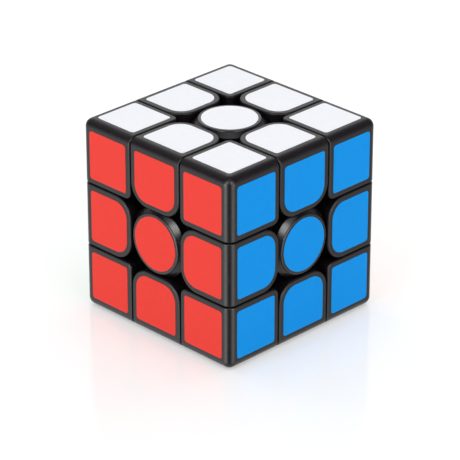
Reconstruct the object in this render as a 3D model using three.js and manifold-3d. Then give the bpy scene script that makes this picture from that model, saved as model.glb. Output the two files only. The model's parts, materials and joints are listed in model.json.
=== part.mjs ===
// Twisty puzzle cube, 3 x 3 x 3, as an assembly of its separate pieces.
//
// Frame: origin at the middle of the core, +Z up, -Y the front, +X the right. Millimetres.
// Inside a ball around the core every layer is wider than it is outside the ball. The pieces
// therefore have feet that hook under their neighbours, and every boundary between two layers
// (a plane outside the ball, a deeper plane inside it, and the ball itself) is a surface of
// revolution about each of the six turning axes.
import * as THREE from 'three';
import { mergeVertices } from 'three/addons/utils/BufferGeometryUtils.js';
import Module from 'manifold-3d';

// ---- driving dimensions -------------------------------------------------------------------
const SIZE = 56; // outside width of the solved cube
const GAP = 0.3; // running clearance between neighbouring pieces
const WALL = 1.3; // moulded wall
const BALL_RADIUS = 20; // the feet turn inside this ball
const STEM_HALF_WIDTH = 6; // from the axis to the layer boundary inside the ball
const OUTER_ROUND = 2.8; // rounding along the cube's own edges
const CUT_ROUND = 0.9; // rounding where two pieces meet
const EDGE_INNER_ROUND = 6; // rounding of an edge piece towards the face's centre
const SLOT_HALF_WIDTH = 2.5; // slot through the foot of an edge piece, into its hollow

const CAP_TOP_RADIUS = 8.65; // round top of a centre cap
const CAP_TOP_ROUND = 0.3;
const CAP_FLARE_RADIUS = 10.3; // reach of the cap along the diagonal, below the flare
const CAP_FLARE_DEPTH = 2.6;
const CAP_DEPTH = 4; // from the face down to the seam between cap and housing
const CENTRE_CORNER_ROUND = 6.5; // corner rounding of a centre seen from above

const POST_RADIUS = 2.4; // hollow posts of the core that the centres turn on
const POST_END = 10.5; // from the origin to the end of a post
const SCREW_RADIUS = 1.4;
const SCREW_TIP = 3.3; // from the origin to the tip of a screw
const SCREW_HEAD_RADIUS = 3;
const SCREW_HEAD_HEIGHT = 2;
const SPRING_SEAT = 12.5; // from the origin to the ledge under a spring
const SPRING_LENGTH = 4.8;
const SPRING_RADIUS = 2.55; // to the middle of the wire
const SPRING_TURNS = 4;
const WIRE_RADIUS = 0.35;
const WASHER_THICKNESS = 0.6;

// ---- dimensions that follow ---------------------------------------------------------------
const HALF = SIZE / 2;
const CLEAR = GAP / 2;
const CUT = SIZE / 6; // from the axis to the layer boundary outside the ball
const PIECE_LOW = CUT + CLEAR; // where a corner or an edge piece starts
const SLICE_HALF = CUT - CLEAR; // half the width of a piece in the middle layer
const FOOT_LOW = STEM_HALF_WIDTH + CLEAR;
const STEM_HALF = STEM_HALF_WIDTH - CLEAR;
const FOOT_RADIUS = BALL_RADIUS - CLEAR;
const SHELL_RADIUS = BALL_RADIUS + CLEAR;
const CAVITY_LOW = PIECE_LOW + WALL;
const CAVITY_HIGH = HALF - WALL;
const SEAM = HALF - CAP_DEPTH; // between a centre's cap and its housing
const SPRING_LOW = SPRING_SEAT + GAP;
const WASHER_LOW = SPRING_LOW + SPRING_LENGTH + GAP;
const SCREW_HEAD_LOW = WASHER_LOW + WASHER_THICKNESS + GAP;
const SHANK_HOLE_RADIUS = SCREW_RADIUS + GAP;
const POST_HOLE_RADIUS = POST_RADIUS + GAP;
const SPRING_POCKET_RADIUS = SPRING_RADIUS + WIRE_RADIUS + 1.2;
const CAP_PLUG_RADIUS = 7.2;
const CAP_PLUG_LOW = SEAM - WALL;

// ---- materials ----------------------------------------------------------------------------
const PLASTIC = { color: 0x323034, roughness: 0.42, metalness: 0 };
const INNER_PLASTIC = { color: 0x28272a, roughness: 0.55, metalness: 0 };
const STEEL = { color: 0xb9bcc0, roughness: 0.3, metalness: 1 };

// ---- faces of the cube --------------------------------------------------------------------
const FACES = {
  up: { normal: new THREE.Vector3(0, 0, 1), axis: 2 },
  down: { normal: new THREE.Vector3(0, 0, -1), axis: 2 },
  front: { normal: new THREE.Vector3(0, -1, 0), axis: 1 },
  back: { normal: new THREE.Vector3(0, 1, 0), axis: 1 },
  right: { normal: new THREE.Vector3(1, 0, 0), axis: 0 },
  left: { normal: new THREE.Vector3(-1, 0, 0), axis: 0 },
};

function turnFromUp(normal) {
  if (normal.z < -0.5) return new THREE.Quaternion().setFromAxisAngle(new THREE.Vector3(1, 0, 0), Math.PI);
  return new THREE.Quaternion().setFromUnitVectors(new THREE.Vector3(0, 0, 1), normal);
}

// ---- joining and cutting ------------------------------------------------------------------
const wasm = await Module();
wasm.setup();

function solid(geometry) {
  const bare = geometry.clone();
  bare.deleteAttribute('normal');
  bare.deleteAttribute('uv');
  const merged = mergeVertices(bare, 1e-4);
  return new wasm.Manifold(new wasm.Mesh({
    numProp: 3,
    vertProperties: new Float32Array(merged.attributes.position.array),
    triVerts: new Uint32Array(merged.index.array),
  }));
}

function geometryOf(body) {
  const mesh = body.getMesh();
  const geometry = new THREE.BufferGeometry();
  geometry.setAttribute('position', new THREE.BufferAttribute(new Float32Array(mesh.vertProperties), 3));
  geometry.setIndex(new THREE.BufferAttribute(new Uint32Array(mesh.triVerts), 1));
  geometry.computeVertexNormals();
  return geometry;
}

// ---- simple shapes ------------------------------------------------------------------------
function box(low, high) {
  const size = high.map((value, i) => value - low[i]);
  const geometry = new THREE.BoxGeometry(...size);
  geometry.translate(...low.map((value, i) => value + size[i] / 2));
  return solid(geometry);
}

function ball(radius) {
  return solid(new THREE.SphereGeometry(radius, 32, 16));
}

// A round bar along +Z.
function bar(radius, low, high, sides = 12) {
  const geometry = new THREE.CylinderGeometry(radius, radius, high - low, sides);
  geometry.rotateX(Math.PI / 2);
  geometry.translate(0, 0, (low + high) / 2);
  return solid(geometry);
}

// A body turned about Z from a profile of [radius, z] points, given from the bottom up.
function turned(profile, sides) {
  const points = profile.map(([radius, z]) => new THREE.Vector2(radius, z));
  const geometry = new THREE.LatheGeometry(points, sides);
  geometry.rotateX(Math.PI / 2);
  return geometry;
}

// A rectangle with its four corners rounded, anticlockwise from the low corner.
function roundedRectangle([u0, v0], [u1, v1], rounds, steps) {
  const corners = [[u0, v0, 1, 1], [u1, v0, -1, 1], [u1, v1, -1, -1], [u0, v1, 1, -1]];
  const points = [];
  corners.forEach(([u, v, inU, inV], i) => {
    const round = rounds[i];
    const start = Math.PI * (1 + i / 2);
    for (let k = 0; k <= steps[i]; k += 1) {
      const angle = start + (k / steps[i]) * (Math.PI / 2);
      points.push(new THREE.Vector2(
        u + round * (inU + Math.cos(angle)),
        v + round * (inV + Math.sin(angle)),
      ));
    }
  });
  return new THREE.Shape(points);
}

// An outline in the plane of two axes, extruded along the third. along is 0, 1 or 2 for X, Y or
// Z, and the outline's own axes are the two that follow it: Y and Z, Z and X, or X and Y.
function extruded(outline, along, low, high) {
  const geometry = new THREE.ExtrudeGeometry(outline, { depth: high - low, bevelEnabled: false });
  geometry.translate(0, 0, low);
  const turn = new THREE.Matrix4();
  const axes = [0, 1, 2].map((i) => new THREE.Vector3().setComponent((along + 1 + i) % 3, 1));
  turn.makeBasis(...axes);
  geometry.applyMatrix4(turn);
  return solid(geometry);
}

// ---- corner piece, in the cell where x, y and z are all positive ---------------------------
function cornerShell() {
  const rounds = [CUT_ROUND, CUT_ROUND, OUTER_ROUND, CUT_ROUND];
  const outline = roundedRectangle([PIECE_LOW, PIECE_LOW], [HALF, HALF], rounds, [1, 1, 3, 1]);
  let body = extruded(outline, 0, PIECE_LOW, HALF);
  body = body.intersect(extruded(outline, 1, PIECE_LOW, HALF));
  body = body.intersect(extruded(outline, 2, PIECE_LOW, HALF));
  const low = [CAVITY_LOW, CAVITY_LOW, CAVITY_LOW];
  const high = [CAVITY_HIGH, CAVITY_HIGH, CAVITY_HIGH];
  return body.subtract(box(low, high)).subtract(ball(SHELL_RADIUS));
}

// The foot turns inside the ball. Its square plug fills the mouth of the shell's hollow.
function cornerFoot() {
  const low = [FOOT_LOW, FOOT_LOW, FOOT_LOW];
  const high = [BALL_RADIUS, BALL_RADIUS, BALL_RADIUS];
  const plugLow = CAVITY_LOW + GAP;
  const plugHigh = plugLow + 3 * WALL;
  const foot = ball(FOOT_RADIUS).intersect(box(low, high));
  return foot.add(box([plugLow, plugLow, plugLow], [plugHigh, plugHigh, plugHigh]));
}

// ---- edge piece, in the cell where x and z are positive and y is in the middle --------------
function edgePiece() {
  const across = [CUT_ROUND, CUT_ROUND, OUTER_ROUND, CUT_ROUND];
  const side = roundedRectangle([PIECE_LOW, PIECE_LOW], [HALF, HALF], across, [1, 1, 3, 1]);
  const inward = [EDGE_INNER_ROUND, CUT_ROUND, CUT_ROUND, EDGE_INNER_ROUND];
  const top = roundedRectangle([PIECE_LOW, -SLICE_HALF], [HALF, SLICE_HALF], inward, [3, 1, 1, 3]);
  const inwardTurned = [EDGE_INNER_ROUND, EDGE_INNER_ROUND, CUT_ROUND, CUT_ROUND];
  const front = roundedRectangle([-SLICE_HALF, PIECE_LOW], [SLICE_HALF, HALF], inwardTurned, [3, 3, 1, 1]);
  let body = extruded(side, 1, -SLICE_HALF, SLICE_HALF);
  body = body.intersect(extruded(top, 2, PIECE_LOW, HALF));
  body = body.intersect(extruded(front, 0, PIECE_LOW, HALF));
  body = body.subtract(ball(SHELL_RADIUS));
  const footBlock = box([FOOT_LOW, -STEM_HALF, FOOT_LOW], [BALL_RADIUS, STEM_HALF, BALL_RADIUS]);
  body = body.add(ball(FOOT_RADIUS).intersect(footBlock));
  body = body.add(box([PIECE_LOW, -STEM_HALF, PIECE_LOW], [BALL_RADIUS, STEM_HALF, BALL_RADIUS]));
  return body.subtract(edgeHollow());
}

// The hollow of an edge piece: wide behind its outer walls, with a slot through the foot towards
// the core.
function edgeHollow() {
  const halfWide = SLICE_HALF - WALL;
  const wideLow = SHELL_RADIUS * Math.SQRT1_2 + WALL;
  const wide = box([wideLow, -halfWide, wideLow], [CAVITY_HIGH, halfWide, CAVITY_HIGH]);
  const slotEnd = wideLow + WALL;
  return wide.add(box([0, -SLOT_HALF_WIDTH, 0], [slotEnd, SLOT_HALF_WIDTH, slotEnd]));
}

// ---- centre piece, about +Z -----------------------------------------------------------------
function centreOutline() {
  const rounds = [0, 0, 0, 0].fill(CENTRE_CORNER_ROUND);
  const steps = [0, 0, 0, 0].fill(4);
  return roundedRectangle([-SLICE_HALF, -SLICE_HALF], [SLICE_HALF, SLICE_HALF], rounds, steps);
}

function centreHousing() {
  const seam = SEAM - CLEAR;
  let body = extruded(centreOutline(), 2, STEM_HALF_WIDTH, seam).subtract(ball(SHELL_RADIUS));
  body = body.add(box([-STEM_HALF, -STEM_HALF, FOOT_LOW], [STEM_HALF, STEM_HALF, seam - WALL]));
  body = body.subtract(bar(CAP_PLUG_RADIUS + GAP, CAP_PLUG_LOW - GAP, HALF, 20));
  body = body.subtract(bar(SPRING_POCKET_RADIUS, SPRING_SEAT, HALF));
  body = body.subtract(bar(SHANK_HOLE_RADIUS, 0, HALF));
  return body.subtract(bar(POST_HOLE_RADIUS, 0, POST_END + GAP));
}

// The cap's round top flares out to the square outline below it.
function centreCap() {
  const seam = SEAM + CLEAR;
  const profile = [
    [0, seam], [CAP_FLARE_RADIUS, seam], [CAP_FLARE_RADIUS, HALF - CAP_FLARE_DEPTH],
    [CAP_TOP_RADIUS, HALF - CAP_TOP_ROUND], [CAP_TOP_RADIUS - CAP_TOP_ROUND, HALF], [0, HALF],
  ];
  let body = solid(turned(profile, 28)).intersect(extruded(centreOutline(), 2, 0, HALF));
  body = body.add(bar(CAP_PLUG_RADIUS, CAP_PLUG_LOW, HALF - WALL, 20));
  return body.subtract(bar(CAP_PLUG_RADIUS - WALL, 0, HALF - WALL, 16));
}

// ---- fasteners, about +Z ----------------------------------------------------------------------
function screw() {
  const headTop = SCREW_HEAD_LOW + SCREW_HEAD_HEIGHT;
  const profile = [
    [0, SCREW_TIP], [SCREW_RADIUS, SCREW_TIP + SCREW_RADIUS], [SCREW_RADIUS, SCREW_HEAD_LOW],
    [SCREW_HEAD_RADIUS, SCREW_HEAD_LOW], [SCREW_HEAD_RADIUS, headTop - 0.8],
    [SCREW_HEAD_RADIUS - 0.8, headTop], [0, headTop],
  ];
  const armLength = 1.8;
  const armHalf = 0.35;
  const recess = headTop - 1.2;
  const lengthways = box([-armLength, -armHalf, recess], [armLength, armHalf, HALF]);
  const crossways = box([-armHalf, -armLength, recess], [armHalf, armLength, HALF]);
  return solid(turned(profile, 14)).subtract(lengthways.add(crossways));
}

class Helix extends THREE.Curve {
  getPoint(t, target = new THREE.Vector3()) {
    const angle = t * SPRING_TURNS * 2 * Math.PI;
    const rise = SPRING_LENGTH - 2 * WIRE_RADIUS;
    return target.set(
      SPRING_RADIUS * Math.cos(angle),
      SPRING_RADIUS * Math.sin(angle),
      SPRING_LOW + WIRE_RADIUS + rise * t,
    );
  }
}

function spring() {
  const section = new THREE.Shape();
  section.absarc(0, 0, WIRE_RADIUS, 0, 2 * Math.PI);
  return solid(new THREE.ExtrudeGeometry(section, {
    steps: SPRING_TURNS * 8,
    extrudePath: new Helix(),
    curveSegments: 3,
    bevelEnabled: false,
  }));
}

function washer() {
  const inner = SHANK_HOLE_RADIUS;
  const outer = SCREW_HEAD_RADIUS + GAP;
  const low = WASHER_LOW;
  const high = low + WASHER_THICKNESS;
  return solid(turned([[inner, low], [outer, low], [outer, high], [inner, high], [inner, low]], 14));
}

// ---- core, with a hollow post along each axis ----------------------------------------------------
function core() {
  let body = box([-STEM_HALF, -STEM_HALF, -STEM_HALF], [STEM_HALF, STEM_HALF, STEM_HALF]);
  const turns = Object.values(FACES).map(({ normal }) => turnFromUp(normal));
  const onEachAxis = (make) => turns.map((turn) => {
    const geometry = geometryOf(make());
    geometry.applyQuaternion(turn);
    return solid(geometry);
  });
  for (const post of onEachAxis(() => bar(POST_RADIUS, 0, POST_END))) body = body.add(post);
  const holes = onEachAxis(() => bar(SHANK_HOLE_RADIUS, SCREW_TIP - GAP, POST_END + 1));
  for (const hole of holes) body = body.subtract(hole);
  return body;
}

// ---- places --------------------------------------------------------------------------------
// The turn that takes the frame's X and Z onto two given face normals.
function turnFromXZ(toX, toZ) {
  const toY = new THREE.Vector3().crossVectors(toZ, toX);
  return new THREE.Quaternion().setFromRotationMatrix(new THREE.Matrix4().makeBasis(toX, toY, toZ));
}

// A corner piece looks the same along each of its three directions, so the two it is turned by
// may be taken in the order that keeps it right-handed.
function turnToCorner(a, b, c) {
  const right = new THREE.Vector3().crossVectors(c, a).dot(b) > 0;
  return right ? turnFromXZ(a, c) : turnFromXZ(c, a);
}

const cube = new THREE.Group();

function place(name, geometry, look, turn) {
  const mesh = new THREE.Mesh(geometry, new THREE.MeshStandardMaterial(look));
  mesh.name = name;
  if (turn) mesh.quaternion.copy(turn);
  cube.add(mesh);
}

place('core', geometryOf(core()), INNER_PLASTIC);

const housingShape = geometryOf(centreHousing());
const capShape = geometryOf(centreCap());
const screwShape = geometryOf(screw());
const springShape = geometryOf(spring());
const washerShape = geometryOf(washer());
for (const [face, { normal }] of Object.entries(FACES)) {
  const turn = turnFromUp(normal);
  place(`screw_${face}`, screwShape, STEEL, turn);
  place(`washer_${face}`, washerShape, STEEL, turn);
  place(`spring_${face}`, springShape, STEEL, turn);
  place(`center_housing_${face}`, housingShape, PLASTIC, turn);
  place(`center_cap_${face}`, capShape, PLASTIC, turn);
}

const edgeShape = geometryOf(edgePiece());
for (const [a, faceA] of Object.entries(FACES)) {
  for (const [b, faceB] of Object.entries(FACES)) {
    if (faceA.axis <= faceB.axis) continue;
    place(`edge_${a}_${b}`, edgeShape, PLASTIC, turnFromXZ(faceA.normal, faceB.normal));
  }
}

const shellShape = geometryOf(cornerShell());
const footShape = geometryOf(cornerFoot());
for (const a of ['up', 'down']) {
  for (const b of ['front', 'back']) {
    for (const c of ['right', 'left']) {
      const turn = turnToCorner(FACES[a].normal, FACES[b].normal, FACES[c].normal);
      place(`corner_shell_${a}_${b}_${c}`, shellShape, PLASTIC, turn);
      place(`corner_foot_${a}_${b}_${c}`, footShape, INNER_PLASTIC, turn);
    }
  }
}

export default cube;
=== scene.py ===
"""The looks of the twisty puzzle cube: finely rounded mouldings, film stickers, steel fasteners,
a pale glossy floor and soft studio light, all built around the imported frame. Metres, +Z up."""
from contextlib import contextmanager
import itertools
import json
import math

import bmesh
import bpy
from mathutils import Matrix, Vector


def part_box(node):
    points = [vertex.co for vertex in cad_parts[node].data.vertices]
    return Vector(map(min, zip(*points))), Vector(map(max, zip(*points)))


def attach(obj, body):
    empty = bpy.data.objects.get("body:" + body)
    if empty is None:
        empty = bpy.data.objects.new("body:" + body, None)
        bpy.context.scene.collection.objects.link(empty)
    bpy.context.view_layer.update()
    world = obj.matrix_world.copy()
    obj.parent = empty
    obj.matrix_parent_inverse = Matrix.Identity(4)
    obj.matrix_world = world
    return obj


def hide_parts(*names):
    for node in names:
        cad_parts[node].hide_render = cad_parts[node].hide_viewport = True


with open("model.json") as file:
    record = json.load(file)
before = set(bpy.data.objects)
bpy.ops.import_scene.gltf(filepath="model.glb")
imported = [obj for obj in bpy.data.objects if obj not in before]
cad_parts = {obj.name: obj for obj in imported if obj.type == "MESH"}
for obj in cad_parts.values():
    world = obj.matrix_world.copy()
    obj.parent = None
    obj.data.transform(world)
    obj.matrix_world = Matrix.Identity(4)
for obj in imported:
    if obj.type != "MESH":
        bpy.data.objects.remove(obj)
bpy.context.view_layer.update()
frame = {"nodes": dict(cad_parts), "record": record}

# ---- sizes, from the frame where it has them ------------------------------------------------
MM = 0.001
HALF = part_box("center_cap_up")[1].z  # from the middle of the cube to the outside of a sticker
PIECE_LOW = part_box("corner_shell_up_front_right")[0].x  # where an outer layer's pieces start
SLICE_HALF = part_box("center_cap_up")[1].x  # half the width of a middle layer's pieces
FOOT_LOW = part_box("corner_foot_up_front_right")[0].x  # where an outer layer starts inside the ball
CUT = (PIECE_LOW + SLICE_HALF) / 2  # the boundary between two layers
CLEAR = PIECE_LOW - CUT  # half the clearance between two pieces
STEM_HALF = FOOT_LOW - 2 * CLEAR  # half the width of a middle layer inside the ball
SEAM_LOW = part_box("center_housing_up")[1].z  # a centre's housing ends here,
SEAM_HIGH = SEAM_LOW + 2 * CLEAR  # and its cap starts here
PLUG_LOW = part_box("center_cap_up")[0].z  # the end of the cap's plug, inside the housing
BALL_RADIUS = 20 * MM  # the feet turn inside this ball
WALL = 1.3 * MM  # the thickness of a moulding

STICKER_THICKNESS = 0.1 * MM
TOP = HALF - STICKER_THICKNESS  # the plastic under a sticker
OUTER_ROUND = 2.3 * MM  # along the cube's own edges
RIM_ROUND = 0.42 * MM  # round every face of a piece, where it meets its neighbours
CORNER_INNER_ROUND = 2.0 * MM  # a corner piece's corner towards the centre
EDGE_INNER_ROUND = 6 * MM  # an edge piece's two corners towards the centre

CAP_RADIUS = 8.65 * MM  # the round top of a centre
CAP_ROUND = 0.35 * MM  # along the rim of the round top
FLARE_RADIUS = 10.05 * MM  # its reach along the diagonal, at the foot of the flare
FLARE_DEPTH = 1.6 * MM
FLARE_SOFTNESS = 0.12 * MM  # of the change from the flare to the square sides
CENTRE_CORNER_ROUND = 6.5 * MM  # of the square, seen from above
RIM_CHAMFER = 0.25 * MM  # at the seam between a cap and its housing
CAP_PLUG_RADIUS = 7.2 * MM
POCKET_RADIUS = 4.1 * MM  # for the spring
SHANK_HOLE_RADIUS = 1.7 * MM
POST_HOLE_RADIUS = 2.7 * MM
POST_END = 10.8 * MM  # the end of the hole for the post
SPRING_SEAT = 12.5 * MM  # the ledge under the spring
SLOT_HALF = 2.5 * MM  # the slot through an edge piece's foot, into its hollow

CORNER_STICKER = (CUT + 1.72 * MM, HALF - 2.94 * MM)  # from and to, in both directions
EDGE_STICKER = (CUT + 1.61 * MM, HALF - 3.05 * MM)  # from and to, outwards
EDGE_STICKER_HALF = 7.55 * MM  # half its width
EDGE_STICKER_INNER_ROUND = 4.35 * MM
STICKER_ROUND = 0.9 * MM
CORNER_STICKER_INNER_ROUND = 0.72 * MM
CENTRE_STICKER_RADIUS = 7.70 * MM
STICKER_RIM = 0.06 * MM  # softening of a sticker's cut edge
STICKER_SINK = 0.02 * MM  # how far its adhesive side is pressed in

NEAR = 1e-6  # two places nearer than this are the same
MERGED = 0.0005 * MM  # points nearer than this become one
ALIGNED = 0.9  # two of the six directions are the same if their product is larger than this
TILT = 0.01  # a part of a normal that is smaller than this counts as none
ROUND_SIDES = 96  # sides of a round shape

DIRECTIONS = {
    "up": Vector((0, 0, 1)),
    "down": Vector((0, 0, -1)),
    "front": Vector((0, -1, 0)),
    "back": Vector((0, 1, 0)),
    "right": Vector((1, 0, 0)),
    "left": Vector((-1, 0, 0)),
}
FACE_COLOURS = {
    "up": "white",
    "down": "yellow",
    "front": "red",
    "back": "orange",
    "right": "blue",
    "left": "green",
}
STICKER_COLOURS = {  # as red, green and blue on a screen, 0 to 255
    "white": (230, 231, 236),
    "yellow": (250, 214, 40),
    "red": (244, 71, 62),
    "orange": (250, 133, 45),
    "blue": (12, 148, 233),
    "green": (38, 178, 88),
}
BLACK = (0.0052, 0.0034, 0.0052)  # these colours are linear light, 0 to 1
# painted shade: the housings and feet, seen only down the gaps, are darker than the outer black
SHADED_INNER_BLACK = (0.0035, 0.003, 0.0036)
SCREW_GREY = (0.56, 0.57, 0.58)
SPRING_GREY = (0.66, 0.66, 0.67)
FLOOR_GREY = (0.62, 0.62, 0.62)
BACKDROP_GREY = (0.025, 0.025, 0.025)
WHITE_LIGHT = (1, 1, 1, 1)

# ---- values of the floor, the backdrop, the light and the camera -------------------------------
FLOOR_RADIUS = 6
FLOOR_SIDES = 128
FLOOR_GLOSS = 0.3
FLOOR_PAINTED_GLOW = 0.36  # painted light: near the cube the sheet glows this much, which lightens the cube's shadow on it
FADE_FROM, FADE_TO = 0.3, 2.5  # between these distances the glow changes to the backdrop's
BACKDROP_RADIUS = 3
BACKDROP_DROP = 2 * HALF  # how far below the middle of the cube the backdrop starts
BACKDROP_RINGS = 16
BACKDROP_GLOW = 0.92

# Azimuths, elevations and the radii of round patches are in degrees.
STUDIO_LEVELS = [  # (elevation, brightness), from straight down to straight up
    (-90, 0.6),
    (-50, 0.65),
    (-26, 0.15),
    (64, 0.03),
    (90, 0.3),
]
FRONT_SHADE = (45, -30, 28, 0.3)  # the darker floor in front, which keeps this share of light
STUDIO_GLOWS = [  # (azimuth, elevation, radius, brightness)
    (256, -24, 30, 0.85),  # the lit floor behind the cube
    (194, -24, 30, 0.85),
    (-8, -6, 22, 6),  # low lamps beside the two faces in front
    (98, -6, 22, 4),
    (1, -27, 24, 2.2),  # the lit floor before each of those faces
    (89, -27, 24, 1.6),
    (180, 28, 34, 0.2),  # the wall behind
    (225, 28, 34, 1.05),
    (270, 28, 34, 0.45),
    (315, -22, 38, 0.75),  # the lit floor to the left and right
    (135, -22, 38, 0.35),
    (45, 60, 35, 0.6),  # the ceiling over the camera
    (15, 25, 17, 6),  # high lamps to the left and right of the camera
    (75, 25, 17, 6),
    (-5, 30, 22, 1),  # and the fainter light further out
    (95, 30, 22, 1),
]
FILLS = [(0, 2.52), (90, 2.56), (180, 1.75), (270, 1.75)]  # (azimuth, strength)

CAMERA_ANGLES = (45.1, 26.2)  # azimuth and elevation, seen from the place it aims at
CAMERA_DISTANCE = 0.7985
CAMERA_AIM = Vector((0.07, 0.07, -5.52)) * MM
FOCAL_LENGTH = 229.6  # millimetres, like the sensor's width
SENSOR_WIDTH = 36


# ---- mesh tools ------------------------------------------------------------------------------
def new_object(name, mesh):
    piece = bpy.data.objects.new(name, mesh)
    bpy.context.scene.collection.objects.link(piece)
    return piece


@contextmanager
def editing(mesh):
    """A mesh opened for changes, which are written back at the end."""
    shape = bmesh.new()
    shape.from_mesh(mesh)
    yield shape
    shape.to_mesh(mesh)
    shape.free()


def mesh_from(name, points, faces):
    mesh = bpy.data.meshes.new(name)
    mesh.from_pydata(points, [], faces)
    with editing(mesh) as shape:
        bmesh.ops.recalc_face_normals(shape, faces=shape.faces)
    return mesh


def apply_modifiers(target):
    bpy.context.view_layer.update()
    shaped = target.evaluated_get(bpy.context.evaluated_depsgraph_get())
    target.data = bpy.data.meshes.new_from_object(shaped)
    target.modifiers.clear()


def cut(target, tool, operation="DIFFERENCE"):
    """Cuts tool out of target, or joins or intersects the two, and removes tool."""
    modifier = target.modifiers.new("cut", "BOOLEAN")
    modifier.operation = operation
    modifier.solver = "EXACT"
    modifier.object = tool
    apply_modifiers(target)
    bpy.data.objects.remove(tool)
    return target


def bevelled(target, chosen, radius, steps):
    """Rounds the edges of target for which chosen(edge) is true."""
    with editing(target.data) as shape:
        shape.normal_update()
        edges = [edge for edge in shape.edges if chosen(edge)]
        bmesh.ops.bevel(shape, geom=edges, offset=radius, offset_type="OFFSET", segments=steps,
                        profile=0.5, affect="EDGES", clamp_overlap=False)


def smooth(target, angle=32):
    """Smooth shading between faces that meet at less than angle degrees. Flat faces stay flat."""
    with editing(target.data) as shape:
        bmesh.ops.remove_doubles(shape, verts=shape.verts, dist=MERGED)
        bmesh.ops.dissolve_degenerate(shape, edges=shape.edges, dist=MERGED)
    target.data.polygons.foreach_set("use_smooth", [True] * len(target.data.polygons))
    target.data.set_sharp_from_angle(angle=math.radians(angle))
    weighted = target.modifiers.new("flat faces stay flat", "WEIGHTED_NORMAL")
    weighted.keep_sharp = True
    weighted.weight = 100
    apply_modifiers(target)
    return target


def box(name, low, high):
    low, high = Vector(low), Vector(high)
    mesh = bpy.data.meshes.new(name)
    with editing(mesh) as shape:
        bmesh.ops.create_cube(shape, size=1)
        for vertex in shape.verts:
            for i in range(3):
                vertex.co[i] = (vertex.co[i] + 0.5) * (high[i] - low[i]) + low[i]
    return new_object(name, mesh)


def ball(radius):
    mesh = bpy.data.meshes.new("ball")
    with editing(mesh) as shape:
        bmesh.ops.create_uvsphere(shape, u_segments=ROUND_SIDES, v_segments=64, radius=radius)
    return new_object("ball", mesh)


def rounded(corners, steps=8):
    """Points round an outline, anticlockwise, from its corners as (x, y, radius)."""
    points = []
    for i, (x, y, radius) in enumerate(corners):
        here = Vector((x, y))
        if radius == 0:
            points.append(here)
            continue
        back = (Vector(corners[i - 1][:2]) - here).normalized()
        on = (Vector(corners[(i + 1) % len(corners)][:2]) - here).normalized()
        half_angle = back.angle(on) / 2
        middle = here + (back + on).normalized() * (radius / math.sin(half_angle))
        spoke = here + back * (radius / math.tan(half_angle)) - middle
        start = math.atan2(spoke.y, spoke.x)
        for k in range(steps + 1):
            angle = start + (math.pi - 2 * half_angle) * k / steps
            points.append(middle + radius * Vector((math.cos(angle), math.sin(angle))))
    return points


def outside_arc(corner, inward, radius, steps=14):
    """An outline's corner outside the arc that rounds it, for a tool that cuts it away."""
    corner, inward = Vector(corner), Vector(inward)
    middle, past = corner + inward * radius, corner - inward * MM
    arc = []
    for k in range(steps + 1):
        angle = math.pi / 2 * k / steps
        spoke = Vector((inward.x * math.cos(angle), inward.y * math.sin(angle)))
        arc.append(middle - radius * spoke)
    return [past, Vector((past.x, arc[0].y)), *arc, Vector((arc[-1].x, past.y))]


def prism(outline, axis, low, high):
    """An outline extruded along an axis, 0 to 2. Its own two axes are the ones that follow."""
    points = []
    for depth in (low, high):
        for u, v in outline:
            point = [0, 0, 0]
            point[axis], point[(axis + 1) % 3], point[(axis + 2) % 3] = depth, u, v
            points.append(point)
    count = len(outline)
    faces = [list(range(count)), list(range(count, 2 * count))]
    faces += [[i, (i + 1) % count, count + (i + 1) % count, count + i] for i in range(count)]
    return new_object("prism", mesh_from("prism", points, faces))


def lofted(name, rings, closed=False):
    """A skin over rings about Z. A ring is a function of the angle that gives (radius, z). The
    first and last ring are capped, or joined to each other where closed."""
    count = ROUND_SIDES
    points = []
    for ring in rings:
        for k in range(count):
            angle = 2 * math.pi * k / count
            radius, z = ring(angle)
            points.append((radius * math.cos(angle), radius * math.sin(angle), z))
    faces = []
    for i in range(len(rings) if closed else len(rings) - 1):
        low, high = i * count, (i + 1) % len(rings) * count
        for k in range(count):
            on = (k + 1) % count
            faces.append((low + k, low + on, high + on, high + k))
    if not closed:
        faces.append(tuple(range(count)))
        faces.append(tuple(range((len(rings) - 1) * count, len(rings) * count)))
    return new_object(name, mesh_from(name, points, faces))


def circle(radius, z):
    """A round ring, for lofted."""
    return lambda angle: (radius, z)


def rounded_square(half, corner):
    """The radius at an angle, out to a rounded square about the axis."""
    def radius_at(angle):
        x, y = abs(math.cos(angle)), abs(math.sin(angle))
        flat = half / max(x, y)
        if flat * min(x, y) <= half - corner:
            return flat
        middle = half - corner
        along = middle * (x + y)
        return along + math.sqrt(along * along - 2 * middle * middle + corner * corner)
    return radius_at


# ---- mouldings, each in its own first place --------------------------------------------------
def is_rim(edge, sideways=math.inf):
    """Whether an edge of a first piece runs between the outside of the cube and a gap. Normals
    of the outside have no negative part, and no part along y that is larger than sideways."""
    outside = [min(face.normal) > -TILT and face.normal.y <= sideways for face in edge.link_faces]
    return sum(outside) == 1


def corner_shell():
    """A hollow corner, where x, y and z are all positive, without its foot."""
    piece = box("corner shell", [PIECE_LOW] * 3, [TOP] * 3)
    def outer(edge):
        ends = [vertex.co for vertex in edge.verts]
        return sum(min(end[i] for end in ends) > TOP - NEAR for i in range(3)) == 2
    def inner(edge):
        ends = [vertex.co for vertex in edge.verts]
        return sum(max(end[i] for end in ends) < PIECE_LOW + NEAR for i in range(3)) == 2
    bevelled(piece, outer, OUTER_ROUND, steps=10)
    bevelled(piece, inner, CORNER_INNER_ROUND, steps=8)
    bevelled(piece, is_rim, RIM_ROUND, steps=5)
    cut(piece, box("hollow", [PIECE_LOW + WALL] * 3, [TOP - WALL] * 3))
    return smooth(cut(piece, ball(BALL_RADIUS + CLEAR)))


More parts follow.
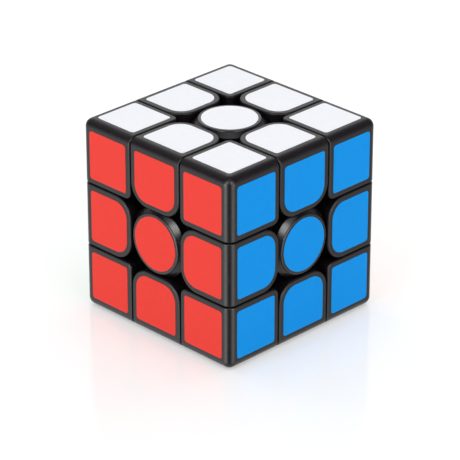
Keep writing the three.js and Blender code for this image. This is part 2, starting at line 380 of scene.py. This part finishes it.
def corner_foot():
    """The foot of a corner, which turns inside the ball, with a plug that fills the shell."""
    piece = box("corner foot", [FOOT_LOW] * 3, [BALL_RADIUS] * 3)
    cut(piece, ball(BALL_RADIUS - CLEAR), "INTERSECT")
    plug_low = PIECE_LOW + WALL + 2 * CLEAR
    plug_high = plug_low + 3 * WALL
    return smooth(cut(piece, box("plug", [plug_low] * 3, [plug_high] * 3), "UNION"))


def edge_piece():
    """A hollow edge piece with its foot, where x and z are positive and y is in the middle."""
    low, wide = PIECE_LOW, SLICE_HALF
    profile = [(TOP, TOP, OUTER_ROUND), (low, TOP, 0), (low, low, 0), (TOP, low, 0)]
    piece = prism(rounded(profile, steps=10), 1, -wide, wide)
    piece.name = "edge piece"
    for side in (-1, 1):
        across = outside_arc((low, side * wide), (1, -side), EDGE_INNER_ROUND)
        cut(piece, prism(across, 2, low - MM, TOP + MM))
        along = outside_arc((side * wide, low), (-side, 1), EDGE_INNER_ROUND)
        cut(piece, prism(along, 0, low - MM, TOP + MM))
    bevelled(piece, lambda edge: is_rim(edge, sideways=TILT), RIM_ROUND, steps=5)
    cut(piece, ball(BALL_RADIUS + CLEAR))
    foot = box("foot", [FOOT_LOW, -STEM_HALF, FOOT_LOW], [BALL_RADIUS, STEM_HALF, BALL_RADIUS])
    cut(foot, ball(BALL_RADIUS - CLEAR), "INTERSECT")
    end = BALL_RADIUS + WALL
    cut(foot, box("neck", [PIECE_LOW, -STEM_HALF, PIECE_LOW], [end, STEM_HALF, end]), "UNION")
    cut(piece, foot, "UNION")
    inside = SLICE_HALF - WALL  # half the width of the hollow
    hollow_low = (BALL_RADIUS + CLEAR) * math.sqrt(0.5) + WALL
    cut(piece, box("hollow", [hollow_low, -inside, hollow_low], [TOP - WALL, inside, TOP - WALL]))
    slot_end = hollow_low + WALL
    cut(piece, box("slot", [0, -SLOT_HALF, 0], [slot_end, SLOT_HALF, slot_end]))
    return smooth(piece)


def blended(a, b, softness):
    """The smaller of two lengths, with a soft change between them."""
    low = min(a, b)
    total = math.exp((low - a) / softness) + math.exp((low - b) / softness)
    return low - softness * math.log(total)


def centre_cap():
    """A centre's cap about +Z: a round flat top that flares out to the rounded square below."""
    square = rounded_square(SLICE_HALF, CENTRE_CORNER_ROUND)
    round_steps, flare_steps = 5, 14
    def flare(share):
        def ring(angle):
            cone = CAP_RADIUS + (FLARE_RADIUS - CAP_RADIUS) * share
            z = TOP - CAP_ROUND - (FLARE_DEPTH - CAP_ROUND) * share
            return blended(cone, square(angle), FLARE_SOFTNESS), z
        return ring
    # from the middle of the flat top outwards, down the flare and the sides, and in to the plug
    rings = [circle(CAP_RADIUS * share, TOP) for share in (0.3, 0.6, 0.9)]
    for k in range(round_steps):
        angle = math.pi / 2 * (1 - k / round_steps)
        out = CAP_RADIUS - CAP_ROUND * (1 - math.cos(angle))
        rings.append(circle(out, TOP - CAP_ROUND * (1 - math.sin(angle))))
    rings += [flare(k / flare_steps) for k in range(flare_steps + 1)]
    rings += [lambda angle: (square(angle), SEAM_HIGH + RIM_CHAMFER)]
    rings += [lambda angle: (square(angle) - RIM_CHAMFER, SEAM_HIGH)]
    plug, inside = CAP_PLUG_RADIUS, CAP_PLUG_RADIUS - WALL
    rings += [circle(plug, SEAM_HIGH), circle(plug, PLUG_LOW), circle(inside, PLUG_LOW)]
    rings += [circle(inside, TOP - WALL), circle(inside / 2, TOP - WALL)]
    return smooth(lofted("centre cap", rings))


def centre_housing():
    """A centre's housing about +Z, with a spring pocket, and a hole for the screw right through."""
    square = rounded_square(SLICE_HALF, CENTRE_CORNER_ROUND)
    stem = rounded_square(STEM_HALF, RIM_CHAMFER)
    ball_radius, under_steps = BALL_RADIUS + CLEAR, 8
    def under(share):
        def ring(angle):
            radius = square(angle) + (stem(angle) - square(angle)) * share
            return radius, math.sqrt(ball_radius ** 2 - radius ** 2)
        return ring
    mouth = CAP_PLUG_RADIUS + 2 * CLEAR
    mouth_low = PLUG_LOW - 2 * CLEAR
    # down the sides and the stem, and up again through the hole, the pocket and the mouth
    rings = [lambda angle: (square(angle) - RIM_CHAMFER, SEAM_LOW)]
    rings += [lambda angle: (square(angle), SEAM_LOW - RIM_CHAMFER)]
    rings += [under(k / under_steps) for k in range(under_steps + 1)]
    rings += [lambda angle: (stem(angle), FOOT_LOW)]
    rings += [circle(POST_HOLE_RADIUS, FOOT_LOW), circle(POST_HOLE_RADIUS, POST_END)]
    rings += [circle(SHANK_HOLE_RADIUS, POST_END), circle(SHANK_HOLE_RADIUS, SPRING_SEAT)]
    rings += [circle(POCKET_RADIUS, SPRING_SEAT), circle(POCKET_RADIUS, mouth_low)]
    rings += [circle(mouth, mouth_low), circle(mouth, SEAM_LOW)]
    return smooth(lofted("centre housing", rings, closed=True))


# ---- stickers, in their first place on the upper face ------------------------------------------
def sticker(name, outline):
    """A film with this outline, with the cut edge of its printed side softened."""
    piece = prism(outline, 2, TOP - STICKER_SINK, HALF)
    piece.name = name
    def top_rim(edge):
        level = all(vertex.co.z > HALF - NEAR for vertex in edge.verts)
        return level and any(abs(face.normal.z) < TILT for face in edge.link_faces)
    bevelled(piece, top_rim, STICKER_RIM, steps=3)
    return smooth(piece, angle=50)


def corner_sticker():
    low, high = CORNER_STICKER
    corners = [(low, low, CORNER_STICKER_INNER_ROUND)]
    corners += [(high, low, STICKER_ROUND), (high, high, STICKER_ROUND), (low, high, STICKER_ROUND)]
    return sticker("corner sticker", rounded(corners))


def edge_sticker():
    low, high = EDGE_STICKER
    wide, inner = EDGE_STICKER_HALF, EDGE_STICKER_INNER_ROUND
    corners = [(low, -wide, inner), (high, -wide, STICKER_ROUND)]
    corners += [(high, wide, STICKER_ROUND), (low, wide, inner)]
    return sticker("edge sticker", rounded(corners, steps=12))


def centre_sticker():
    spokes = [2 * math.pi * k / ROUND_SIDES for k in range(ROUND_SIDES)]
    outline = [CENTRE_STICKER_RADIUS * Vector((math.cos(a), math.sin(a))) for a in spokes]
    return sticker("centre sticker", outline)


# ---- materials -----------------------------------------------------------------------------------
def spread(tree, value, source, target, change="LINEAR"):
    """A node output that carries a value from its source range over to a target range."""
    node = tree.nodes.new("ShaderNodeMapRange")
    node.interpolation_type = change
    limits = (*source, *target)
    for name, limit in zip(("From Min", "From Max", "To Min", "To Max"), limits):
        node.inputs[name].default_value = limit
    tree.links.new(value, node.inputs["Value"])
    return node.outputs["Result"]


class Look:
    """A material under construction: a Principled shader with nodes added to its inputs."""

    def __init__(self, name):
        self.material = bpy.data.materials.new(name)
        self.material.use_nodes = True
        self.tree = self.material.node_tree
        self.nodes, self.links = self.tree.nodes, self.tree.links
        self.shader = self.nodes["Principled BSDF"]
        self.place = self.nodes.new("ShaderNodeTexCoord").outputs["Object"]

    def set(self, **values):
        """Even values of the shader's inputs, with _ for each space in a name."""
        for name, value in values.items():
            self.shader.inputs[name.replace("_", " ")].default_value = value

    def noise(self, size, detail=2.0):
        """Noise with features of about size metres."""
        node = self.nodes.new("ShaderNodeTexNoise")
        node.inputs["Scale"].default_value = 1 / size
        node.inputs["Detail"].default_value = detail
        self.links.new(self.place, node.inputs["Vector"])
        return node.outputs["Fac"]

    def colours(self, factor, colour, darkest, lightest):
        """The base colour: over the middle half of factor, from darkest to lightest times colour."""
        ramp = self.nodes.new("ShaderNodeValToRGB")
        shares = (darkest, lightest)
        for stop, position, share in zip(ramp.color_ramp.elements, (0.25, 0.75), shares):
            stop.position = position
            stop.color = (*(min(1, value * share) for value in colour), 1)
        self.links.new(factor, ramp.inputs["Fac"])
        self.links.new(ramp.outputs["Color"], self.shader.inputs["Base Color"])

    def roughness(self, factor, low, high):
        """The roughness, from low to high over the range that noise mostly keeps to."""
        value = spread(self.tree, factor, (0.3, 0.7), (low, high))
        self.links.new(value, self.shader.inputs["Roughness"])

    def bump(self, height, strength, distance):
        """A fine relief of height times distance, softened by strength."""
        node = self.nodes.new("ShaderNodeBump")
        node.inputs["Strength"].default_value = strength
        node.inputs["Distance"].default_value = distance
        self.links.new(height, node.inputs["Height"])
        self.links.new(node.outputs["Normal"], self.shader.inputs["Normal"])


def linear(red, green, blue):
    """A screen colour, 0 to 255, as linear light."""
    def channel(value):
        value /= 255
        return value / 12.92 if value <= 0.04045 else ((value + 0.055) / 1.055) ** 2.4
    return tuple(channel(value) for value in (red, green, blue))


def moulded_plastic(name, colour, roughness, gloss):
    """Black plastic from a spark-eroded mould: a fine grain, and faint flow marks."""
    look = Look(name)
    look.set(Specular_IOR_Level=gloss)
    look.colours(look.noise(size=3 * MM), colour, darkest=0.85, lightest=1.15)
    look.roughness(look.noise(size=0.9 * MM, detail=4), *roughness)
    look.bump(look.noise(size=0.12 * MM, detail=3), strength=0.16, distance=0.02 * MM)
    return look.material


def film(name, colour):
    """Printed vinyl film: even colour with a faint mottle, and a fine orange-peel surface."""
    look = Look(name)
    look.set(Specular_IOR_Level=0.06)
    look.colours(look.noise(size=1.6 * MM, detail=3), colour, darkest=0.985, lightest=1.015)
    look.roughness(look.noise(size=0.7 * MM, detail=3), low=0.38, high=0.5)
    look.bump(look.noise(size=0.3 * MM), strength=0.1, distance=0.02 * MM)
    return look.material


def steel(name, colour, roughness, grain):
    """Bare steel with a fine grain of a given size."""
    look = Look(name)
    look.set(Metallic=1.0)
    look.colours(look.noise(size=1.2 * MM), colour, darkest=0.9, lightest=1.1)
    look.roughness(look.noise(grain, detail=4), *roughness)
    look.bump(look.noise(grain, detail=4), strength=0.2, distance=0.01 * MM)
    return look.material


def floor_look():
    """White acrylic sheet with a soft gloss, and a painted glow that lightens the cube's shadow near
    it and is brighter further out.
    """
    look = Look("floor")
    look.set(Specular_IOR_Level=FLOOR_GLOSS, Emission_Color=WHITE_LIGHT)
    look.colours(look.noise(size=60 * MM), FLOOR_GREY, darkest=0.995, lightest=1)
    look.roughness(look.noise(size=4 * MM), low=0.10, high=0.14)
    distance = look.nodes.new("ShaderNodeVectorMath")
    distance.operation = "LENGTH"
    look.links.new(look.place, distance.inputs[0])
    # painted light: the glow rises from the cube outwards, to the backdrop's
    glow = spread(look.tree, distance.outputs["Value"], (FADE_FROM, FADE_TO),
                  (FLOOR_PAINTED_GLOW, BACKDROP_GLOW), "SMOOTHSTEP")
    look.links.new(glow, look.shader.inputs["Emission Strength"])
    return look.material


def backdrop_look():
    """White paper, lit evenly."""
    look = Look("backdrop")
    look.set(Specular_IOR_Level=0, Emission_Color=WHITE_LIGHT, Emission_Strength=BACKDROP_GLOW)
    look.colours(look.noise(size=0.5), BACKDROP_GREY, darkest=0.8, lightest=1.2)
    return look.material


LOOKS = {
    "black_plastic": moulded_plastic("black plastic", BLACK, roughness=(0.3, 0.42), gloss=0.58),
    "cap_plastic": moulded_plastic("cap plastic", BLACK, roughness=(0.2, 0.28), gloss=0.75),
    # the housings and feet take the darker black, a painted shade for the gaps
    "housing_plastic": moulded_plastic("housing plastic", SHADED_INNER_BLACK, roughness=(0.45, 0.6),
                                       gloss=0.1),
    "inner_plastic": moulded_plastic("inner plastic", SHADED_INNER_BLACK, roughness=(0.45, 0.6),
                                     gloss=0.2),
    "screw_steel": steel("screw steel", SCREW_GREY, roughness=(0.25, 0.4), grain=0.2 * MM),
    "spring_steel": steel("spring steel", SPRING_GREY, roughness=(0.12, 0.22), grain=0.1 * MM),
}
for colour, screen in STICKER_COLOURS.items():
    LOOKS[f"sticker_{colour}"] = film(f"{colour} film", linear(*screen))


# ---- the cube, made of copies of the first pieces --------------------------------------------
def first_piece(piece):
    """Gives a first piece its material slot, and takes the object itself out of the scene."""
    piece.data.materials.clear()
    piece.data.materials.append(None)
    bpy.context.scene.collection.objects.unlink(piece)
    return piece


def body_name(kind, normals):
    """The body of a kind that shows the faces with these normals."""
    shown = [face for face, direction in DIRECTIONS.items()
             if any(direction.dot(normal) > ALIGNED for normal in normals)]
    return "_".join([kind, *shown])


def turn_from_up(normal):
    """The turn that takes +Z to a given normal."""
    if normal.z < -ALIGNED:
        return Matrix.Rotation(math.pi, 3, "X")
    return DIRECTIONS["up"].rotation_difference(normal).to_matrix()


def turn_to(x, z):
    """The turn that takes +X and +Z to two given normals."""
    return Matrix((x, z.cross(x), z)).transposed()


def placed(first, name, turn, body, slot, node=None, look=None):
    """A turned copy of a first piece, which rides on a body and may stand for a CAD node. It
    looks like its slot unless it has a look of its own."""
    piece = new_object(name, first.data)
    piece.matrix_world = turn.to_4x4()
    piece.material_slots[0].link = "OBJECT"
    piece.material_slots[0].material = LOOKS[look or slot]
    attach(piece, body)
    if node:
        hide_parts(node)


def add_corners():
    """The eight corners. A corner is the same in x and z, so where the three faces come in the
    other order about it, x and z change places."""
    shell, foot = first_piece(corner_shell()), first_piece(corner_foot())
    for faces in itertools.product(("up", "down"), ("front", "back"), ("right", "left")):
        z, y, x = (DIRECTIONS[face] for face in faces)
        turn = turn_to(x, z) if z.cross(x).dot(y) > 0 else turn_to(z, x)
        place = "_".join(faces)
        body = f"corner_{place}"
        placed(shell, f"shell_{place}", turn, body, "black_plastic", f"corner_shell_{place}")
        placed(foot, f"foot_{place}", turn, body, "inner_plastic", f"corner_foot_{place}")


def add_edges():
    """The twelve edges, one for every two faces that meet."""
    first = first_piece(edge_piece())
    for one, other in itertools.combinations(DIRECTIONS, 2):
        x, z = DIRECTIONS[other], DIRECTIONS[one]
        if x.dot(z) == 0:
            place = f"{one}_{other}"
            edge = f"edge_{place}"  # the body and its only node
            placed(first, f"moulding_{place}", turn_to(x, z), edge, "black_plastic", edge)


def add_centres():
    """The six centres, each a cap on a housing."""
    cap, housing = first_piece(centre_cap()), first_piece(centre_housing())
    for face, normal in DIRECTIONS.items():
        turn, body = turn_from_up(normal), f"center_{face}"
        placed(cap, f"cap_{face}", turn, body, "black_plastic", f"center_cap_{face}",
               "cap_plastic")
        placed(housing, f"housing_{face}", turn, body, "black_plastic", f"center_housing_{face}",
               "housing_plastic")


def add_stickers():
    """On each face, a sticker on the centre, and one on each corner and edge piece around it."""
    on_corner, on_edge = first_piece(corner_sticker()), first_piece(edge_sticker())
    on_centre = first_piece(centre_sticker())
    for face, normal in DIRECTIONS.items():
        slot = f"sticker_{FACE_COLOURS[face]}"
        placed(on_centre, f"sticker_{face}", turn_from_up(normal), f"center_{face}", slot)
        for quarter in range(4):
            turn = turn_from_up(normal) @ Matrix.Rotation(quarter * math.pi / 2, 3, "Z")
            x, y = turn @ Vector((1, 0, 0)), turn @ Vector((0, 1, 0))
            corner = body_name("corner", [normal, x, y])
            edge = body_name("edge", [normal, x])
            placed(on_corner, f"sticker_{face}_on_{corner}", turn, corner, slot)
            placed(on_edge, f"sticker_{face}_on_{edge}", turn, edge, slot)


add_corners()
add_edges()
add_centres()
add_stickers()

# The core, screws, washers and springs are the frame's own solids, in the same materials.
node_slots = {part["node"]: part["material_slot"] for part in frame["record"]["subparts"]}
for node in frame["nodes"].values():
    if not node.hide_render:
        node.material_slots[0].material = LOOKS[node_slots[node.name]]


# ---- floor and backdrop --------------------------------------------------------------------------
def disc(name, radius, z):
    angles = [2 * math.pi * k / FLOOR_SIDES for k in range(FLOOR_SIDES)]
    outline = [(radius * math.cos(angle), radius * math.sin(angle), z) for angle in angles]
    return new_object(name, mesh_from(name, outline, [list(range(FLOOR_SIDES))]))


def vault(share):
    """A ring of the dome behind everything, from share 0 at its foot to 1 at its top."""
    angle = math.pi / 2 * share
    z = BACKDROP_RADIUS * math.sin(angle) - BACKDROP_DROP
    return circle(BACKDROP_RADIUS * math.cos(angle), z)


floor = disc("floor", FLOOR_RADIUS, -HALF)
floor.data.materials.append(floor_look())
floor.visible_glossy = False  # gloss shows the studio instead

backdrop = lofted("backdrop", [vault(k / BACKDROP_RINGS) for k in range(BACKDROP_RINGS)])
backdrop.data.materials.append(backdrop_look())
for kind in ("diffuse", "glossy", "transmission", "shadow"):
    setattr(backdrop, f"visible_{kind}", False)  # only the camera sees it


# ---- light and camera ----------------------------------------------------------------------------
def towards(azimuth, elevation):
    """The direction from the cube to a place: azimuth 0 is in front, 90 to the right."""
    around, up = math.radians(azimuth), math.radians(elevation)
    level = math.cos(up)
    return Vector((math.sin(around) * level, -math.cos(around) * level, math.sin(up)))


def softbox(name, azimuth, elevation, distance, size, strength):
    """A square light that faces the cube. Strength is its brightness, with 1 for full white. It
    shows on matt surfaces only, because the studio's own brightness is what shows in gloss."""
    lamp = bpy.data.lights.new(name, "AREA")
    lamp.shape = "SQUARE"
    lamp.size = size
    lamp.energy = strength * math.pi * size ** 2
    light = new_object(name, lamp)
    light.location = towards(azimuth, elevation) * distance
    light.rotation_euler = towards(azimuth, elevation).to_track_quat("Z", "Y").to_euler()
    light.visible_glossy = False


class Studio:
    """The white studio round the cube, as it shows in glossy surfaces. A brightness of 1 is full
    white, and the lamps are brighter."""

    def __init__(self, levels):
        """Levels are (elevation, brightness), from straight down to straight up."""
        self.world = bpy.data.worlds.new("studio")
        self.world.use_nodes = True
        self.tree = self.world.node_tree
        self.nodes, self.links = self.tree.nodes, self.tree.links
        self.direction = self.nodes.new("ShaderNodeTexCoord").outputs["Generated"]
        split = self.nodes.new("ShaderNodeSeparateXYZ")
        self.links.new(self.direction, split.inputs["Vector"])
        height = spread(self.tree, split.outputs["Z"], (-1, 1), (0, 1))
        ramp = self.nodes.new("ShaderNodeValToRGB")
        ramp.color_ramp.interpolation = "LINEAR"
        for _ in levels[2:]:
            ramp.color_ramp.elements.new(0.5)
        for stop, (elevation, brightness) in zip(ramp.color_ramp.elements, levels):
            stop.position = (1 + math.sin(math.radians(elevation))) / 2
            stop.color = (brightness, brightness, brightness, 1)
        self.links.new(height, ramp.inputs["Fac"])
        self.light = ramp.outputs["Color"]

    def patch(self, azimuth, elevation, radius, outside, inside):
        """Values over the whole sphere, from one outside a round patch to one at its middle."""
        toward = self.nodes.new("ShaderNodeVectorMath")
        toward.operation = "DOT_PRODUCT"
        self.links.new(self.direction, toward.inputs[0])
        toward.inputs[1].default_value = towards(azimuth, elevation)
        edge = math.cos(math.radians(radius))
        nearness = toward.outputs["Value"]
        return spread(self.tree, nearness, (edge, 1), (outside, inside), "SMOOTHSTEP")

    def change(self, operation, value):
        """Adds a value to the light so far, or multiplies the light by it."""
        node = self.nodes.new("ShaderNodeVectorMath")
        node.operation = operation
        self.links.new(self.light, node.inputs[0])
        self.links.new(value, node.inputs[1])
        self.light = node.outputs["Vector"]

    def glow(self, azimuth, elevation, radius, brightness):
        self.change("ADD", self.patch(azimuth, elevation, radius, 0, brightness))

    def shade(self, azimuth, elevation, radius, kept):
        self.change("MULTIPLY", self.patch(azimuth, elevation, radius, 1, kept))

    def use(self):
        """Puts the studio round the scene. Matt surfaces are lit by the softboxes instead."""
        self.links.new(self.light, self.nodes["Background"].inputs["Color"])
        self.world.cycles_visibility.diffuse = False
        bpy.context.scene.world = self.world


studio = Studio(STUDIO_LEVELS)
studio.shade(*FRONT_SHADE)
for glow in STUDIO_GLOWS:
    studio.glow(*glow)
studio.use()

softbox("overhead", azimuth=45, elevation=90, distance=1.6, size=3.0, strength=1.25)
for azimuth, strength in FILLS:
    softbox(f"fill {azimuth}", azimuth, elevation=25, distance=2.0, size=1.4, strength=strength)

optics = bpy.data.cameras.new("camera")
optics.sensor_width = SENSOR_WIDTH
optics.lens = FOCAL_LENGTH
camera = new_object("camera", optics)
camera.location = CAMERA_AIM + CAMERA_DISTANCE * towards(*CAMERA_ANGLES)
camera.rotation_euler = towards(*CAMERA_ANGLES).to_track_quat("Z", "Y").to_euler()
bpy.context.scene.camera = camera
bpy.context.scene.view_settings.view_transform = "Standard"
